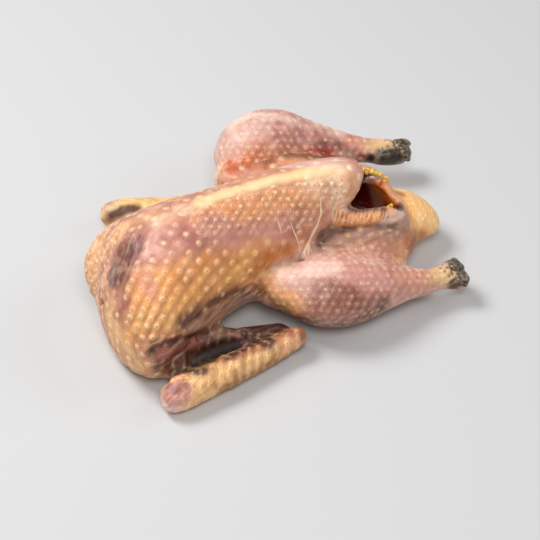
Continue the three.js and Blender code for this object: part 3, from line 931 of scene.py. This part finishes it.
bump = node(tree, "Bump", {"Height": relief, "Distance": MM, "Strength": 1.0})
dryness = sums(tree, "SUBTRACT", blotch, stored(tree, "wet"))
tree.links.new(colour, shader.inputs["Base Color"])
tree.links.new(bump.outputs["Normal"], shader.inputs["Normal"])
tree.links.new(ramp(tree, dryness, -0.6, 0.7, 0.12, 0.5), shader.inputs["Roughness"])


def dressed(piece, material):
    """Gives a piece its material, shades it smooth and rides it on the part."""
    piece.data.polygons.foreach_set("use_smooth", np.ones(len(piece.data.polygons), bool))
    piece.data.materials.clear()
    piece.data.materials.append(material)
    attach(piece, "root")


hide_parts("guinea_fowl")
dressed(skin, skin_material)

# Thin strands of torn white skin lie on the breast, each a flat tube that is half sunk in the skin along its
# marks and thins out at both ends.
BREAST_STRAND = ((320, 196), (321, 205), (321, 214), (318, 224), (312, 236), (306, 247), (302, 256))
STRAND_FORK = ((317, 224), (312, 235), (309, 246), (308, 256))
STRAND_ROOT = ((312, 238), (308, 246), (305, 252), (304, 257))
SHORT_STRANDS = (((278, 221), (280, 228), (282, 234)),
                 ((291, 222), (292, 227), (296, 236), (299, 244), (300, 254)))
MOTTLE_SCALE = 450
MOTTLE_DEPTH = 0.8


def mottle_group():
    """A group of nodes that mixes two colours by fine noise and raises the surface by the same noise."""
    group = bpy.data.node_groups.new("mottle", "ShaderNodeTree")
    for name, way, kind in (("First", "INPUT", "Color"), ("Second", "INPUT", "Color"),
                            ("Colour", "OUTPUT", "Color"), ("Normal", "OUTPUT", "Vector")):
        group.interface.new_socket(name=name, in_out=way, socket_type="NodeSocket" + kind)
    given = group.nodes.new("NodeGroupInput").outputs
    noisy = grain(group, node(group, "TexCoord").outputs["Object"], MOTTLE_SCALE, 4)
    both = mixed(group, ramp(group, noisy, 0.35, 0.65), given["First"], given["Second"])
    bump = node(group, "Bump", {"Height": noisy, "Distance": MOTTLE_DEPTH * MM})
    results = group.nodes.new("NodeGroupOutput").inputs
    group.links.new(both, results["Colour"])
    group.links.new(bump.outputs["Normal"], results["Normal"])
    return group


mottle = mottle_group()


def flesh(name, colour, other, roughness, coat=0.0, scatter=0.2):
    """A moist material, mottled between two colours seen on screen, from 0 to 255."""
    made, shader = shaded(name, {
        "Roughness": roughness, "Coat Weight": coat, "Coat Roughness": 0.15, "Subsurface Weight": scatter,
        "Subsurface Radius": (1.0, 0.5, 0.3), "Subsurface Scale": 2 * MM})
    mottled = node(made.node_tree, "Group", {"First": (*light_of(colour), 1),
                                             "Second": (*light_of(other), 1)}, node_tree=mottle).outputs
    made.node_tree.links.new(mottled["Colour"], shader.inputs["Base Color"])
    made.node_tree.links.new(mottled["Normal"], shader.inputs["Normal"])
    return made


def closed_piece(name, ring_sets, material):
    """A piece of one or more closed surfaces. Each is an array of rings of places in millimetres, and a fan
    closes its first and its last ring. A surface whose volume comes out negative is turned inside out."""
    corners, faces = [], []
    for rings in ring_sets:
        count, around = rings.shape[:2]
        points = np.vstack((rings.reshape(-1, 3), rings[0].mean(0), rings[-1].mean(0)))
        grid = np.arange(count * around).reshape(count, around)
        beside = np.roll(grid, -1, axis=1)
        quads = np.stack((grid[:-1], beside[:-1], beside[1:], grid[1:]), -1).reshape(-1, 4)
        first = np.stack((beside[0], grid[0], np.full(around, count * around)), -1)
        last = np.stack((grid[-1], beside[-1], np.full(around, count * around + 1)), -1)
        triangles = np.vstack((quads[:, :3], quads[:, [0, 2, 3]], first, last))
        a, b, c = (points[triangles[:, k]] for k in range(3))
        turn = -1 if (a * np.cross(b, c)).sum() < 0 else 1
        start = sum(len(part) for part in corners)
        faces += [(face[::turn] + start).tolist() for part in (quads, first, last) for face in part]
        corners.append(points)
    made = bpy.data.objects.new(name, bpy.data.meshes.new(name))
    made.data.from_pydata((np.vstack(corners) * MM).tolist(), [], faces)
    scene.collection.objects.link(made)
    dressed(made, material)


# Where a ray passes beside the bird it is looked along at these distances from the camera, in millimetres.
REACH = np.linspace(1140, 1400, 66)


def touched(marks):
    """Where the marks' rays meet the finished skin, in millimetres, and the skin's normals there. For a ray
    that passes beside the bird it is the skin's nearest place to any of the ray's points."""
    hits = []
    for ray in rays(marks):
        hit = surface.ray_cast(Vector(CAMERA_AT * MM), Vector(ray))
        if hit[0] is None:
            beside = [surface.find_nearest(Vector(spot * MM)) for spot in CAMERA_AT + REACH[:, None] * ray]
            hit = min(beside, key=lambda found: found[3])
        hits.append(hit)
    return np.array([hit[0] for hit in hits]) / MM, np.array([hit[1] for hit in hits])


def even_marks(marks, apart):
    """Marks every so many pixels along the line through the given ones."""
    marks = np.array(marks, float)
    lengths = np.concatenate(([0], np.cumsum(np.linalg.norm(np.diff(marks, axis=0), axis=1))))
    stops = np.linspace(0, lengths[-1], max(4, int(lengths[-1] / apart)))
    return np.stack([np.interp(stops, lengths, marks[:, k]) for k in range(2)], 1)


def smoothed(rows, rounds):
    """The rows of an array, each averaged with its neighbours so many times, with both ends kept."""
    rows = rows.copy()
    for _ in range(rounds):
        rows[1:-1] = (rows[:-2] + 2 * rows[1:-1] + rows[2:]) / 4
    return rows


def strand(marks, radius, sunk=0.3, flat=0.7, rough=0.5, around=10):
    """The rings of a tube that lies on the skin along its marks, sunk by a share of its radius. Its radius
    goes by the square root of a sine, so that it thins out at both ends, and is roughened by noise."""
    along_skin, out = touched(even_marks(marks, 1.2))
    along_skin, out = smoothed(along_skin, 3), smoothed(out, 6)
    along = np.gradient(along_skin, axis=0)
    along /= np.linalg.norm(along, axis=1)[:, None]
    side = np.cross(along, out)
    side /= np.linalg.norm(side, axis=1)[:, None]
    out = np.cross(side, along)
    thick = radius * np.sin(np.pi * np.linspace(0.02, 0.98, len(along_skin))) ** 0.5
    thick *= 1 + rough * (noise(along_skin, 2.5, 30) - 0.5)
    angle = np.linspace(0, 2 * np.pi, around, endpoint=False)
    return (along_skin[:, None] - (sunk * thick[:, None] * out)[:, None] + thick[:, None, None] * (
        flat * np.cos(angle)[:, None] * out[:, None] + np.sin(angle)[:, None] * side[:, None]))


long_strands = [strand(BREAST_STRAND, 1.0), strand(STRAND_FORK, 0.8), strand(STRAND_ROOT, 0.8)]
short_strands = [strand(marks, 0.45) for marks in SHORT_STRANDS]
closed_piece("breast_strands", long_strands + short_strands,
             flesh("torn skin", (255, 222, 186), (250, 200, 160), 0.35, 0.2))

# Yellow fat sits along the far edge of the cavity's mouth, in a bank of uneven lumps, and in two lumps on
# its near edge. A thin grey lip of skin runs under the bank.
FAT_BANK = ((366, 169.5), (371, 170.5), (376, 172.5), (381, 175), (386, 178.5))
FAT_LUMPS = (((363.5, 170), 1.7), ((368.5, 169.5), 1.5), ((372, 172), 1.8), ((377, 173.5), 1.5),
             ((381.5, 176), 1.3), ((386, 178.5), 1.6), ((366.5, 173), 1.2), ((384.5, 181), 1.0),
             ((391.5, 206), 1.7), ((388.5, 207), 1.1))
INNER_LIP = ((362.5, 183), (367, 180), (374, 178), (381, 177.5))


def lump(mark, size, seed, flat=1.0, around=20, rows=11):
    """The rings of a rough ball, half sunk in the skin under a mark and swollen here and there by noise."""
    spot, out = touched([mark])
    rise = np.linspace(0.06, 0.94, rows)[:, None] * np.pi
    turn = np.linspace(0, 2 * np.pi, around, endpoint=False)[None]
    ball = np.stack((np.sin(rise) * np.cos(turn), np.sin(rise) * np.sin(turn), np.cos(rise) + 0 * turn), -1)
    swell = 0.55 + 0.9 * noise(ball.reshape(-1, 3) * size + 7.3 * seed, 0.8 * size, 40).reshape(rows, around)
    ball = size * ball * swell[..., None]
    ball -= (1 - flat) * (ball @ out[0])[..., None] * out[0]
    return spot[0] - 0.2 * size * flat * out[0] + ball


fat_material = flesh("fat", (250, 206, 92), (222, 150, 60), 0.3, 0.4)
closed_piece("cavity_fat", [strand(FAT_BANK, 2.0, sunk=0.3, flat=0.8, rough=1.0, around=16)]
             + [lump(mark, size, k) for k, (mark, size) in enumerate(FAT_LUMPS)], fat_material)
closed_piece("inner_lip", [strand(INNER_LIP, 2.4, sunk=0.4, flat=0.6)],
             flesh("lip", (226, 186, 164), (164, 122, 108), 0.3, 0.3))

# The torn ends of both shanks are thin lobes of dark wet skin with a pale rim, one over the other. A lobe
# is a rough ball that is flattened onto the skin, and a rim is a fine strand along its edge.
LOBES = (((456, 264), 4.6), ((462, 278), 4.6), ((403, 145), 5.6), ((406, 153), 4.6))
RIM_MARKS = (((447, 259.5), (453, 257.5), (459, 257), (463, 260.5), (464, 267)),
             ((463, 271), (467, 272.5), (469, 277), (467.5, 283), (463, 286.5), (457, 287.5)),
             ((395, 135.5), (401, 136.5), (407, 140), (412, 146), (413.5, 152), (410, 158)))
closed_piece("shank_lobes", [lump(mark, size, 20 + k, flat=0.45) for k, (mark, size) in enumerate(LOBES)],
             flesh("dark skin", (48, 38, 27), (128, 110, 84), 0.2, 0.5))
closed_piece("shank_rims", [strand(marks, 0.6, sunk=0.0, flat=0.8) for marks in RIM_MARKS],
             flesh("torn rim", (214, 196, 178), (160, 136, 116), 0.2, 0.5, 0.3))

# The cut end of the near wing has a rounded, paler rim of skin around its flesh, and a loose flap of skin
# above it. Both are strands that are laid along their marks.
CUT_RIM = ((161, 397), (160.5, 403), (164, 409), (172, 411), (181, 408.5))
CUT_FLAP = ((170, 383), (175, 379), (184, 377), (192, 378))
closed_piece("wing_cut_rim", [strand(CUT_RIM, 2.0, sunk=0.5, rough=0.8)],
             flesh("cut rim", (255, 206, 192), (222, 150, 146), 0.3, 0.3))
closed_piece("wing_flap", [strand(CUT_FLAP, 3.0, sunk=0.2, flat=0.8, rough=0.8)],
             flesh("loose skin", (252, 196, 144), (228, 150, 98), 0.35, 0.3))
